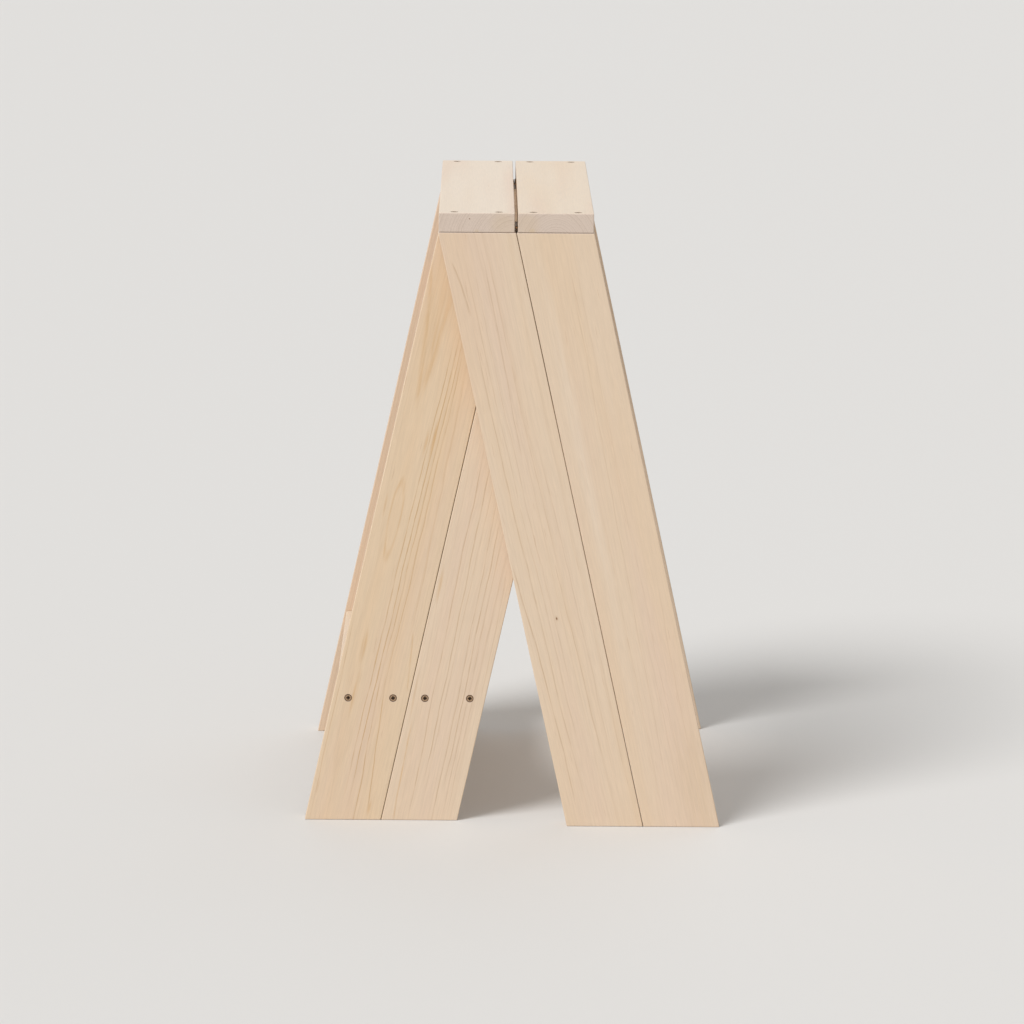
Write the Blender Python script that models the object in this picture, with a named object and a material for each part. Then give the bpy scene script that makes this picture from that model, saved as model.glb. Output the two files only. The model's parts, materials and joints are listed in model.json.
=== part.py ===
"""Folding sawhorse: two board frames under a two-board seat.

The outer frame is the seat with four leg boards, which lean towards +X at the foot.
The inner frame stands between them: four leg boards that lean towards -X, and a shelf.
It turns on two pivot bolts under the seat, so its legs swing in line with the outer ones.

+X runs across the sawhorse, +Y along the seat and +Z up. The origin is on the ground,
under the middle of the seat. All sizes are in metres and all angles in radians.
"""
import math

import bmesh
import bpy
from mathutils import Vector

# Overall sizes
TRESTLE_HEIGHT = 0.746
TRESTLE_LENGTH = 0.536
LEG_LEAN = math.radians(12.44)
SHELF_HEIGHT = 0.161

# Board stock, shared by the seat, the legs and the shelf
BOARD_WIDTH = 0.090
BOARD_THICKNESS = 0.023
ARRIS = 0.0012
ARRIS_SEGMENTS = 3

# Battens, which tie two boards side by side where they can't be seen
BATTEN_WIDTH = 0.045
BATTEN_THICKNESS = 0.020
BATTEN_END_INSET = 0.015
LEG_BATTEN_DROP = 0.150
SEAT_BATTEN_INSET = 0.016
SHELF_EDGE_INSET = 0.0016

# Gaps between boards, and how far the inner frame stands to +X of the seat's middle
SEAT_GAP = 0.0038
BOARD_SEAM = 0.0006
FIT_GAP = 0.0003
INNER_FRAME_OFFSET = 0.001

# Countersunk screws
SCREW_HEAD_RADIUS = 0.0045
SCREW_SHANK_RADIUS = 0.0021
SCREW_HEAD_DEPTH = 0.0028
SCREW_TIP_LENGTH = 0.004
SCREW_SINK = 0.0002
SCREW_EDGE_INSET = 0.0185
SHELF_SCREW_RISE = 0.0025
END_GRAIN_BITE = 0.037
BATTEN_SCREW_END_INSET = 0.010
BATTEN_SCREW_MIDDLE_INSET = 0.025
SCREW_TIP_COVER = 0.007
SCREW_SEGMENTS = 16

# Pivot bolts and their washers
PIVOT_EDGE_DISTANCE = 0.0315
BOLT_RADIUS = 0.004
BOLT_HEAD_RADIUS = 0.0085
BOLT_HEAD_HEIGHT = 0.0045
BOLT_HEAD_CHAMFER = 0.0008
BOLT_TIP_COVER = 0.006
SOCKET_RADIUS = 0.0029
SOCKET_DEPTH = 0.0028
HEAD_WASHER_RADIUS = 0.011
HEAD_WASHER_THICKNESS = 0.0015
SPACER_WASHER_RADIUS = 0.012
SPACER_WASHER_THICKNESS = 0.001
BOLT_SEGMENTS = 24
CORNER_SEGMENTS = 12

# How far a cutter stands out of the face that it cuts
CUTTER_OVERRUN = 0.001

# Levels that follow from the sizes above
SEAT_UNDERSIDE = TRESTLE_HEIGHT - BOARD_THICKNESS
LEG_TOP = SEAT_UNDERSIDE - FIT_GAP
FRAME_GAP = SPACER_WASHER_THICKNESS + 2 * FIT_GAP
HALF_LENGTH = TRESTLE_LENGTH / 2
OUTER_LEG_Y = HALF_LENGTH - BOARD_THICKNESS / 2
INNER_LEG_Y = OUTER_LEG_Y - BOARD_THICKNESS - FRAME_GAP
INNER_FACE_Y = INNER_LEG_Y - BOARD_THICKNESS / 2
SHELF_LENGTH = 2 * (INNER_FACE_Y - FIT_GAP)
SHELF_MIDDLE_Z = SHELF_HEIGHT - BOARD_THICKNESS / 2
BATTEN_LENGTH = 2 * (BOARD_WIDTH - BATTEN_END_INSET)

# Both leg pairs lean, the outer one towards +X at the foot and the inner one towards -X
OUTER_LEAN = -LEG_LEAN
INNER_LEAN = LEG_LEAN
LEG_MIDDLE = {OUTER_LEAN: 0.0, INNER_LEAN: INNER_FRAME_OFFSET}

ENDS = (("front", -1), ("back", 1))
SIDES = (("left", -1), ("right", 1))


# ---------------------------------------------------------------- scene and materials

def clear_scene():
    """Remove every object that the scene starts with."""
    for item in list(bpy.data.objects):
        bpy.data.objects.remove(item, do_unlink=True)


def principled_material(name, colour, roughness, metallic=0.0):
    """Return a new Principled material with one colour."""
    material = bpy.data.materials.new(name)
    material.use_nodes = True
    shader = material.node_tree.nodes["Principled BSDF"]
    shader.inputs["Base Color"].default_value = (*colour, 1.0)
    shader.inputs["Roughness"].default_value = roughness
    shader.inputs["Metallic"].default_value = metallic
    return material


def wood(name, lightness=1.0):
    """Return pale softwood, with its own lightness for each board."""
    colour = [channel * lightness for channel in (0.72, 0.56, 0.40)]
    return principled_material(name, colour, 0.55)


def bronzed_steel(name):
    """Return the dark coating of a wood screw."""
    return principled_material(name, (0.09, 0.065, 0.05), 0.4, 0.9)


def zinc(name):
    """Return bright zinc plating."""
    return principled_material(name, (0.62, 0.63, 0.65), 0.3, 1.0)


# ---------------------------------------------------------------- mesh helpers

def add_object(name, mesh_builder, material, location, parent, rotation=(0, 0, 0)):
    """Make an object from a bmesh, at a world location, under a parent empty."""
    mesh = bpy.data.meshes.new(name)
    bmesh.ops.recalc_face_normals(mesh_builder, faces=mesh_builder.faces)
    mesh_builder.to_mesh(mesh)
    mesh_builder.free()
    if material:
        mesh.materials.append(material)
    item = bpy.data.objects.new(name, mesh)
    bpy.context.collection.objects.link(item)
    item.parent = parent
    item.location = Vector(location) - parent.location
    item.rotation_euler = rotation
    return item


def add_empty(name, location):
    """Make an empty that a frame's pieces are parented to."""
    empty = bpy.data.objects.new(name, None)
    empty.location = location
    bpy.context.collection.objects.link(empty)
    return empty


def extruded(outline, depth, plane):
    """Extrude an outline by depth, half to each side of its plane, "xz" or "xy"."""
    shape = bmesh.new()
    if plane == "xz":
        along = Vector((0, depth, 0))
        corners = [Vector((a, -depth / 2, b)) for a, b in outline]
    else:
        along = Vector((0, 0, depth))
        corners = [Vector((a, b, -depth / 2)) for a, b in outline]
    face = shape.faces.new([shape.verts.new(corner) for corner in corners])
    grown = bmesh.ops.extrude_face_region(shape, geom=[face])
    moved = [part for part in grown["geom"] if isinstance(part, bmesh.types.BMVert)]
    bmesh.ops.translate(shape, verts=moved, vec=along)
    return shape


def turned(profile, segments):
    """Spin a profile of (radius, height) points about the Z axis into a closed solid."""
    shape = bmesh.new()
    points = [shape.verts.new((radius, 0, height)) for radius, height in profile]
    edges = [shape.edges.new(pair) for pair in zip(points, points[1:])]
    bmesh.ops.spin(shape, geom=points + edges, axis=(0, 0, 1), cent=(0, 0, 0),
                   angle=2 * math.pi, steps=segments)
    bmesh.ops.remove_doubles(shape, verts=shape.verts, dist=1e-6)
    return shape


def rectangle(width, depth):
    """Return the outline of a rectangle about the origin."""
    x, y = width / 2, depth / 2
    return [(-x, -y), (x, -y), (x, y), (-x, y)]


def ease_edges(item):
    """Round a board's edges, apart from those between the facets of a round corner."""
    bevel = item.modifiers.new("arris", "BEVEL")
    bevel.width = ARRIS
    bevel.segments = ARRIS_SEGMENTS
    bevel.limit_method = "ANGLE"
    bevel.angle_limit = math.radians(30)


def smooth_round(item):
    """Shade a turned piece smooth, with its rims left sharp."""
    item.data.shade_smooth()
    item.data.set_sharp_from_angle(angle=math.radians(35))


def cut(item, cutter):
    """Cut one piece with a cutter, which is left out of the model."""
    cutter.hide_render = True
    cutter.display_type = "WIRE"
    boolean = item.modifiers.new("cut_" + cutter.name, "BOOLEAN")
    boolean.operation = "DIFFERENCE"
    boolean.solver = "EXACT"
    boolean.object = cutter


# ---------------------------------------------------------------- leg geometry

def leg_centre_x(lean, height):
    """Return where a leg pair's middle line is at a height. It starts under the seat."""
    return LEG_MIDDLE[lean] + (height - SEAT_UNDERSIDE) * math.tan(lean)


def leg_board_x(lean, side, height):
    """Return where the middle line of one board of a leg pair is at a height."""
    across = (BOARD_WIDTH + BOARD_SEAM) / 2 / math.cos(lean)
    return leg_centre_x(lean, height) + side * across


def leg_outline(lean):
    """Return a leg board's outline about its middle line, cut level at foot and top."""
    half = BOARD_WIDTH / 2
    rise = half * math.tan(lean)
    length = LEG_TOP / math.cos(lean)
    return [(-half, -rise), (half, rise), (half, length + rise), (-half, length - rise)]


def round_pivot_corner(outline, lean):
    """Replace a leg outline's top right corner by an arc about the pivot."""
    centre_x = BOARD_WIDTH / 2 - PIVOT_EDGE_DISTANCE
    centre_z = (PIVOT_Z + centre_x * math.sin(lean)) / math.cos(lean)
    sweep = math.pi / 2 + lean
    steps = (sweep * step / CORNER_SEGMENTS for step in range(CORNER_SEGMENTS + 1))
    arc = [(centre_x + PIVOT_EDGE_DISTANCE * math.cos(turn),
            centre_z + PIVOT_EDGE_DISTANCE * math.sin(turn)) for turn in steps]
    return outline[:2] + arc + outline[3:]


def pivot_x(lean):
    """Return where the pivot is across the inner frame's right-hand leg boards."""
    along = PIVOT_Z * math.tan(lean)
    across = (BOARD_WIDTH / 2 - PIVOT_EDGE_DISTANCE) / math.cos(lean)
    return leg_board_x(lean, 1, 0) + along + across


def shelf_board_width():
    """Return the width at which the shelf's edges stay inside the leaning legs' edges."""
    half_pair = (BOARD_WIDTH + BOARD_SEAM / 2) / math.cos(INNER_LEAN)
    slant = BOARD_THICKNESS / 2 * math.tan(INNER_LEAN)
    return half_pair - slant - SHELF_EDGE_INSET - BOARD_SEAM / 2


PIVOT_Z = LEG_TOP - PIVOT_EDGE_DISTANCE
PIVOT_X = pivot_x(INNER_LEAN)
SHELF_X = leg_centre_x(INNER_LEAN, SHELF_MIDDLE_Z)
SHELF_BOARD_WIDTH = shelf_board_width()
SHELF_SCREW_Z = SHELF_MIDDLE_Z + SHELF_SCREW_RISE


# ---------------------------------------------------------------- boards and battens

def add_leg_boards(prefix, lean, y, parent, round_corner=False):
    """Make the four leg boards of one frame and return them by name."""
    boards = {}
    for end, facing in ENDS:
        for side, direction in SIDES:
            name = f"{prefix}_leg_{end}_{side}"
            outline = leg_outline(lean)
            if round_corner and direction > 0:
                outline = round_pivot_corner(outline, lean)
            foot = (leg_board_x(lean, direction, 0), facing * y, 0)
            shape = extruded(outline, BOARD_THICKNESS, "xz")
            boards[name] = add_object(name, shape, wood(name), foot, parent, (0, lean, 0))
            ease_edges(boards[name])
    return boards


def add_level_boards(prefix, middle, size, gap, parent, lightness):
    """Make two level boards of a (width, length) side by side, such as the seat, by name."""
    boards = {}
    for side, direction in SIDES:
        name = f"{prefix}_board_{side}"
        across = Vector((direction * (size[0] + gap) / 2, 0, 0))
        shape = extruded(rectangle(*size), BOARD_THICKNESS, "xy")
        boards[name] = add_object(name, shape, wood(name, lightness), middle + across, parent)
        ease_edges(boards[name])
    return boards


def add_level_batten(name, middle, parent):
    """Make a level batten that runs across two boards."""
    shape = extruded(rectangle(BATTEN_LENGTH, BATTEN_WIDTH), BATTEN_THICKNESS, "xy")
    batten = add_object(name, shape, wood(name, 0.92), middle, parent)
    ease_edges(batten)
    return batten


def add_leg_batten(name, middle, lean, parent):
    """Make an upright batten that runs square across two leaning leg boards."""
    shape = extruded(rectangle(BATTEN_LENGTH, BATTEN_WIDTH), BATTEN_THICKNESS, "xz")
    batten = add_object(name, shape, wood(name, 0.92), middle, parent, (0, lean, 0))
    ease_edges(batten)
    return batten


# ---------------------------------------------------------------- screws

def screw_profile(length, grow, top):
    """Return a countersunk screw's outline, or its hole's where grow is the clearance."""
    head = SCREW_HEAD_RADIUS + grow
    shank = SCREW_SHANK_RADIUS + grow
    return [(0, top), (head, top), (head, -SCREW_SINK), (shank, -SCREW_HEAD_DEPTH),
            (shank, SCREW_TIP_LENGTH - length), (0, -length - grow)]


def drive_screw(name, boards, point, rotation, length, parent):
    """Put a screw into two boards from a point on the first one's face."""
    hole = turned(screw_profile(length, FIT_GAP, CUTTER_OVERRUN), SCREW_SEGMENTS)
    cutter = add_object(name + "_hole", hole, None, point, parent, rotation)
    for board in boards:
        cut(board, cutter)
    profile = screw_profile(length, 0, -SCREW_SINK)
    del profile[2]
    screw = add_object(name, turned(profile, SCREW_SEGMENTS), bronzed_steel(name),
                       point, parent, rotation)
    smooth_round(screw)


POINT_DOWN = (0, 0, 0)
POINT_UP = (math.pi, 0, 0)


def point_along_y(direction):
    """Return the rotation of a screw or bolt that points along +Y or -Y."""
    return (direction * math.pi / 2, 0, 0)


def edge_offsets(gap, lean=0):
    """Return each board's side, and the places across it where an end screw goes.

    They are measured level, so on leaning boards they are further apart.
    """
    pair = (BOARD_WIDTH + gap) / 2
    reach = BOARD_WIDTH / 2 - SCREW_EDGE_INSET
    return [(side, (direction * pair + shift) / math.cos(lean))
            for side, direction in SIDES for shift in (-reach, reach)]


def batten_offsets():
    """Return each board's side, and the places along a batten where its screws go."""
    outer = BATTEN_LENGTH / 2 - BATTEN_SCREW_END_INSET
    inner = BATTEN_SCREW_MIDDLE_INSET
    return [("left", -outer), ("left", -inner), ("right", inner), ("right", outer)]


def screw_seat_to_legs(seat, legs, parent):
    """Drive four screws down through each end of the seat into the outer legs' tops."""
    length = BOARD_THICKNESS + END_GRAIN_BITE
    for end, facing in ENDS:
        for number, (side, x) in enumerate(edge_offsets(SEAT_GAP), 1):
            boards = (seat[f"seat_board_{side}"], legs[f"outer_leg_{end}_{side}"])
            point = (x, facing * OUTER_LEG_Y, TRESTLE_HEIGHT)
            drive_screw(f"seat_screw_{end}_{number}", boards, point, POINT_DOWN, length, parent)


def screw_legs_to_shelf(shelf, legs, parent):
    """Drive four screws through each inner leg pair into the ends of the shelf boards."""
    length = BOARD_THICKNESS + FIT_GAP + END_GRAIN_BITE
    outside_y = INNER_LEG_Y + BOARD_THICKNESS / 2
    middle_x = leg_centre_x(INNER_LEAN, SHELF_SCREW_Z)
    for end, facing in ENDS:
        for number, (side, x) in enumerate(edge_offsets(BOARD_SEAM, INNER_LEAN), 1):
            boards = (legs[f"inner_leg_{end}_{side}"], shelf[f"shelf_board_{side}"])
            point = (middle_x + x, facing * outside_y, SHELF_SCREW_Z)
            drive_screw(f"shelf_screw_{end}_{number}", boards, point,
                        point_along_y(-facing), length, parent)


def screw_batten(prefix, batten, boards, points, rotation, parent):
    """Drive a batten's screws through it, one for each (board name, point) pair."""
    length = BATTEN_THICKNESS + FIT_GAP + BOARD_THICKNESS - SCREW_TIP_COVER
    for number, (board, point) in enumerate(points, 1):
        drive_screw(f"{prefix}_{number}", (batten, boards[board]), point, rotation,
                    length, parent)


# ---------------------------------------------------------------- frames

def build_outer_frame(parent):
    """Make the seat, the outer legs and the battens under the seat."""
    seat_middle = Vector((0, 0, TRESTLE_HEIGHT - BOARD_THICKNESS / 2))
    seat_size = (BOARD_WIDTH, TRESTLE_LENGTH)
    seat = add_level_boards("seat", seat_middle, seat_size, SEAT_GAP, parent, 1.08)
    legs = add_leg_boards("outer", OUTER_LEAN, OUTER_LEG_Y, parent)
    screw_seat_to_legs(seat, legs, parent)

    top = SEAT_UNDERSIDE - FIT_GAP
    for end, facing in ENDS:
        y = facing * (INNER_FACE_Y - SEAT_BATTEN_INSET - BATTEN_WIDTH / 2)
        batten = add_level_batten(f"seat_batten_{end}", (0, y, top - BATTEN_THICKNESS / 2), parent)
        points = [(f"seat_board_{side}", (x, y, top - BATTEN_THICKNESS))
                  for side, x in batten_offsets()]
        screw_batten(f"seat_batten_screw_{end}", batten, seat, points, POINT_UP, parent)
    return legs


def build_inner_frame(parent):
    """Make the inner legs with their battens, and the shelf with its batten."""
    legs = add_leg_boards("inner", INNER_LEAN, INNER_LEG_Y, parent, round_corner=True)
    shelf_middle = Vector((SHELF_X, 0, SHELF_MIDDLE_Z))
    shelf_size = (SHELF_BOARD_WIDTH, SHELF_LENGTH)
    shelf = add_level_boards("shelf", shelf_middle, shelf_size, BOARD_SEAM, parent, 1.04)
    screw_legs_to_shelf(shelf, legs, parent)

    height = LEG_TOP - LEG_BATTEN_DROP
    face = INNER_FACE_Y - FIT_GAP
    for end, facing in ENDS:
        middle = Vector((leg_centre_x(INNER_LEAN, height),
                         facing * (face - BATTEN_THICKNESS / 2), height))
        batten = add_leg_batten(f"leg_batten_{end}", middle, INNER_LEAN, parent)
        points = []
        for side, x in batten_offsets():
            point = (middle.x + x * math.cos(INNER_LEAN), facing * (face - BATTEN_THICKNESS),
                     height - x * math.sin(INNER_LEAN))
            points.append((f"inner_leg_{end}_{side}", point))
        screw_batten(f"leg_batten_screw_{end}", batten, legs, points,
                     point_along_y(facing), parent)

    top = SHELF_HEIGHT - BOARD_THICKNESS - FIT_GAP
    batten = add_level_batten("shelf_batten", (SHELF_X, 0, top - BATTEN_THICKNESS / 2), parent)
    points = [(f"shelf_board_{side}", (SHELF_X + x, 0, top - BATTEN_THICKNESS))
              for side, x in batten_offsets()]
    screw_batten("shelf_batten_screw", batten, shelf, points, POINT_UP, parent)
    return legs


# ---------------------------------------------------------------- pivots

def bolt_profile(length):
    """Return a pivot bolt's outline, with the underside of its head at height 0."""
    top = BOLT_HEAD_HEIGHT
    rim = BOLT_HEAD_RADIUS - BOLT_HEAD_CHAMFER
    end = BOLT_RADIUS - BOLT_HEAD_CHAMFER
    return [(0, top), (rim, top), (BOLT_HEAD_RADIUS, top - BOLT_HEAD_CHAMFER),
            (BOLT_HEAD_RADIUS, 0), (BOLT_RADIUS, 0),
            (BOLT_RADIUS, BOLT_HEAD_CHAMFER - length), (end, -length), (0, -length)]


def add_washer(name, radius, thickness, point, parent):
    """Make a flat washer around the pivot, with its middle at a point."""
    hole = BOLT_RADIUS + FIT_GAP
    half = thickness / 2
    profile = [(hole, half), (radius, half), (radius, -half), (hole, -half), (hole, half)]
    washer = add_object(name, turned(profile, BOLT_SEGMENTS), zinc(name), point, parent,
                        point_along_y(1))
    smooth_round(washer)


def add_pivot(end, facing, outer_legs, inner_legs, parent):
    """Fasten one end of the inner frame to the outer leg beside it with a bolt."""
    head_face = INNER_FACE_Y - FIT_GAP - HEAD_WASHER_THICKNESS - FIT_GAP
    reach = HALF_LENGTH - BOLT_TIP_COVER - head_face
    seat_of_head = (PIVOT_X, facing * head_face, PIVOT_Z)
    rotation = point_along_y(facing)

    hole = [(0, CUTTER_OVERRUN), (BOLT_RADIUS + FIT_GAP, CUTTER_OVERRUN),
            (BOLT_RADIUS + FIT_GAP, -reach - FIT_GAP), (0, -reach - FIT_GAP)]
    cutter = add_object(f"pivot_hole_{end}", turned(hole, BOLT_SEGMENTS), None,
                        seat_of_head, parent, rotation)
    cut(outer_legs[f"outer_leg_{end}_right"], cutter)
    cut(inner_legs[f"inner_leg_{end}_right"], cutter)

    name = f"pivot_bolt_{end}"
    bolt = add_object(name, turned(bolt_profile(reach), BOLT_SEGMENTS), zinc(name),
                      seat_of_head, parent, rotation)
    smooth_round(bolt)
    socket = bmesh.new()
    bmesh.ops.create_cone(socket, cap_ends=True, segments=6, radius1=SOCKET_RADIUS,
                          radius2=SOCKET_RADIUS, depth=2 * SOCKET_DEPTH)
    top_of_head = (PIVOT_X, facing * (head_face - BOLT_HEAD_HEIGHT), PIVOT_Z)
    cut(bolt, add_object(f"socket_{end}", socket, None, top_of_head, parent, rotation))

    head_washer_y = INNER_FACE_Y - FIT_GAP - HEAD_WASHER_THICKNESS / 2
    add_washer(f"head_washer_{end}", HEAD_WASHER_RADIUS, HEAD_WASHER_THICKNESS,
               (PIVOT_X, facing * head_washer_y, PIVOT_Z), parent)
    spacer_y = HALF_LENGTH - BOARD_THICKNESS - FRAME_GAP / 2
    add_washer(f"spacer_washer_{end}", SPACER_WASHER_RADIUS, SPACER_WASHER_THICKNESS,
               (PIVOT_X, facing * spacer_y, PIVOT_Z), parent)


def build():
    """Make the whole sawhorse, standing open."""
    clear_scene()
    outer_frame = add_empty("outer_frame", (0, 0, 0))
    inner_frame = add_empty("inner_frame", (PIVOT_X, 0, PIVOT_Z))
    outer_legs = build_outer_frame(outer_frame)
    inner_legs = build_inner_frame(inner_frame)
    for end, facing in ENDS:
        add_pivot(end, facing, outer_legs, inner_legs, outer_frame)


build()
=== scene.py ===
"""Looks of the folding sawhorse: refined boards, screws and pivots, solid softwood and soft light.

Lengths are in metres, and angles in radians but for the lights'. Sizes and places come from the
frame, and what the frame doesn't say is a named size here.
"""
import json
import math
import random
from dataclasses import dataclass, field

import bmesh
import bpy
from mathutils import Matrix, Vector

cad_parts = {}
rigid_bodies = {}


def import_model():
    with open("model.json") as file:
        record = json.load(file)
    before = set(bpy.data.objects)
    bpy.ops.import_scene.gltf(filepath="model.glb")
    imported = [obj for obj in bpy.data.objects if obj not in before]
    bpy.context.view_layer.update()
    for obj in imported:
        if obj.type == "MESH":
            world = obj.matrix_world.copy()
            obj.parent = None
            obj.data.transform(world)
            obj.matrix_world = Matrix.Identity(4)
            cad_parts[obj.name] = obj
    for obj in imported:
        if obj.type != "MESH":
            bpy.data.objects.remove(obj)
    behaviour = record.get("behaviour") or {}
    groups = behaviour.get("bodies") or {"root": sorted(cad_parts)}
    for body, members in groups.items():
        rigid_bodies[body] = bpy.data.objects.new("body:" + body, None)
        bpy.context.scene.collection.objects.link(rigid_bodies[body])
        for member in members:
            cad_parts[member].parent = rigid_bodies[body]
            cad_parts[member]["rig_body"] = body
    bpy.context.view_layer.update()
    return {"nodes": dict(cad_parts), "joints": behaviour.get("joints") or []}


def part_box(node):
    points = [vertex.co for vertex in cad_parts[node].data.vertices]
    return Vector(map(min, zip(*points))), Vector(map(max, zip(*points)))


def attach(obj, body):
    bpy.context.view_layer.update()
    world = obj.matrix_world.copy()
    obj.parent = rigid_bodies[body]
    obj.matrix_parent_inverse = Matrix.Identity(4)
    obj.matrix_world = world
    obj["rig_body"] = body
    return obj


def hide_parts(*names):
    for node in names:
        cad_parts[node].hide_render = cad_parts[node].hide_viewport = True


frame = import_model()

MM = 0.001

# Boards
ARRIS = 1.2 * MM
ARRIS_SEGMENTS = 6
CORNER_STEPS = 24
ARRIS_ANGLE = math.radians(30)
SMOOTH_LIMIT = math.radians(35)

# Holes that screws and bolts pass through
HOLE_CLEARANCE = 0.3 * MM
HOLE_POINT_RADIUS = 0.3 * MM
CUTTER_OVERRUN = 1.0 * MM

# Countersunk wood screws with a cross recess
SCREW_HEAD_RIM = 0.35 * MM
SCREW_HEAD_DEPTH = 2.8 * MM
SCREW_HEAD_EASE = 0.1 * MM
SCREW_NECK = 0.5 * MM
SCREW_SHANK_RADIUS = 1.75 * MM
SCREW_ROOT_RADIUS = 1.45 * MM
SCREW_CREST_RADIUS = 2.08 * MM
SCREW_PITCH = 2.4 * MM
SCREW_THREAD_LEAD = 0.3 * MM
SCREW_TIP_LENGTH = 6 * MM
SCREW_TIP_STEP = 1.2 * MM
SCREW_TIP_TAPER = 0.85
SCREW_POINT_RADIUS = 0.12 * MM
SCREW_PLAIN_SHARE = 0.36
SCREW_ROLL = 0.35
SCREW_SIDES = 24
RECESS_REACH = 2.6 * MM
RECESS_HALF_WIDTH = 0.62 * MM
RECESS_DEPTH = 2.1 * MM
RECESS_BOTTOM_REACH = 0.8 * MM
RECESS_BOTTOM_HALF_WIDTH = 0.3 * MM
RECESS_LIP = 0.05 * MM

# Pivot bolts and washers
BOLT_SHANK_RADIUS = 4.0 * MM
BOLT_ROOT_RADIUS = 3.4 * MM
BOLT_PITCH = 1.25 * MM
BOLT_THREAD_LENGTH = 17 * MM
BOLT_THREAD_LEAD = 0.4 * MM
BOLT_END_STEP = 0.4 * MM
BOLT_HEAD_HEIGHT = 4.5 * MM
BOLT_HEAD_ROUND = 1.2 * MM
BOLT_HEAD_EASE = 0.3 * MM
BOLT_CHAMFER = 0.8 * MM
BOLT_SOCKET_RADIUS = 2.9 * MM
BOLT_SOCKET_DEPTH = 2.8 * MM
BOLT_SOCKET_CONE = 0.8 * MM
BOLT_SOCKET_TIP = 0.3 * MM
BOLT_SOCKET_SIDES = 6
BOLT_ROLL = 1.0
BOLT_SIDES = 48
WASHER_ROUND = 0.25 * MM
ROUND_STEPS = 5

# Threads: rows of faces for each turn, and how steeply the ridge rises
THREAD_ROWS = 5
RIDGE_STEEPNESS = 2.4

# A fastener's points no further than this from its end, measured along it, belong to the end
END_REACH = 0.05 * MM

# Seeds of how far each fastener is turned, and of the grain in the boards that don't show
LOOSE_SEED = 11
GRAIN_SEED = 29

X, Y = Vector((1, 0, 0)), Vector((0, 1, 0))
ENDS = ("front", "back")
SIDES = ("left", "right")

NODES = frame["nodes"]
FOLD = next(joint for joint in frame["joints"] if joint["name"] == "fold")
PIVOT = Vector(FOLD["pos_m"])
LEG_LEAN = math.radians(FOLD["range_deg"][1]) / 2
LOOSE = random.Random(LOOSE_SEED)


# ------------------------------------------------------------------ pieces

def add_object(name, data):
    """Add an object to the scene."""
    item = bpy.data.objects.new(name, data)
    bpy.context.scene.collection.objects.link(item)
    return item


def add_piece(node, mesh, matrix, material):
    """Put a refined mesh in the place of a CAD node, on the node's own body."""
    piece = add_object("fine_" + node, mesh)
    piece.matrix_world = matrix
    mesh.materials.clear()
    mesh.materials.append(material)
    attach(piece, NODES[node]["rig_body"])
    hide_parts(node)
    return piece


def to_mesh(shape, name):
    """Turn a bmesh into a mesh whose faces point out."""
    bmesh.ops.recalc_face_normals(shape, faces=shape.faces)
    mesh = bpy.data.meshes.new(name)
    shape.to_mesh(mesh)
    shape.free()
    return mesh


def soften(mesh):
    """Shade a mesh smooth over its rounded edges and leave its real edges sharp."""
    mesh.shade_smooth()
    mesh.set_sharp_from_angle(angle=SMOOTH_LIMIT)


def subtract(mesh, cutter_mesh):
    """Return a mesh with a cutter taken out of it."""
    body = add_object("body", mesh)
    cutter = add_object("cutter", cutter_mesh)
    boolean = body.modifiers.new("cut", "BOOLEAN")
    boolean.operation = "DIFFERENCE"
    boolean.solver = "EXACT"
    boolean.object = cutter
    graph = bpy.context.evaluated_depsgraph_get()
    result = bpy.data.meshes.new_from_object(body.evaluated_get(graph))
    result.name = mesh.name
    for item in (body, cutter):
        bpy.data.objects.remove(item)
    return result


def skin(rings, closed=False):
    """Join rings of points, each with as many points, into a solid with flat ends or a ring."""
    shape = bmesh.new()
    loops = [[shape.verts.new(point) for point in ring] for ring in rings]
    pairs = list(zip(loops, loops[1:] + loops[:1])) if closed else list(zip(loops, loops[1:]))
    for upper, lower in pairs:
        for index in range(len(upper)):
            after = (index + 1) % len(upper)
            shape.faces.new((upper[index], upper[after], lower[after], lower[index]))
    if not closed:
        shape.faces.new(loops[0])
        shape.faces.new(loops[-1])
    return shape


def circle(height, radius, sides):
    """Return a ring of points about Z. The radius may be a number or a function of the turn."""
    points = []
    for index in range(sides):
        turn = 2 * math.pi * index / sides
        reach = radius(turn) if callable(radius) else radius
        points.append(Vector((reach * math.cos(turn), reach * math.sin(turn), height)))
    return points


def turned(profile, sides):
    """Return a ring of points about Z for each height and radius of a profile."""
    return [circle(height, radius, sides) for height, radius in profile]


# ------------------------------------------------------------------ screws, bolts, washers

def thread_rings(top, bottom, pitch, root, crest, sides):
    """Return the rings of a thread between two heights. Its ridge runs in at the top."""
    rings = []
    rows = round((top - bottom) / pitch * THREAD_ROWS)
    for row in range(rows + 1):
        height = top + (bottom - top) * row / rows
        run_in = min(1.0, (top - height) / pitch)

        def radius(turn, height=height, run_in=run_in):
            phase = (height / pitch + turn / (2 * math.pi)) % 1.0
            ridge = max(0.0, 1 - RIDGE_STEEPNESS * abs(phase - 0.5))
            return root + (crest - root) * ridge * run_in

        rings.append(circle(height, radius, sides))
    return rings


def cross_outline(reach, half_width, height):
    """Return the outline of a cross, such as a screw's recess at one depth."""
    points = []
    for quarter in range(4):
        turn = Matrix.Rotation(quarter * math.pi / 2, 3, "Z")
        for x, y in ((half_width, half_width), (half_width, reach), (-half_width, reach)):
            points.append(turn @ Vector((x, y, height)))
    return points


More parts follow.
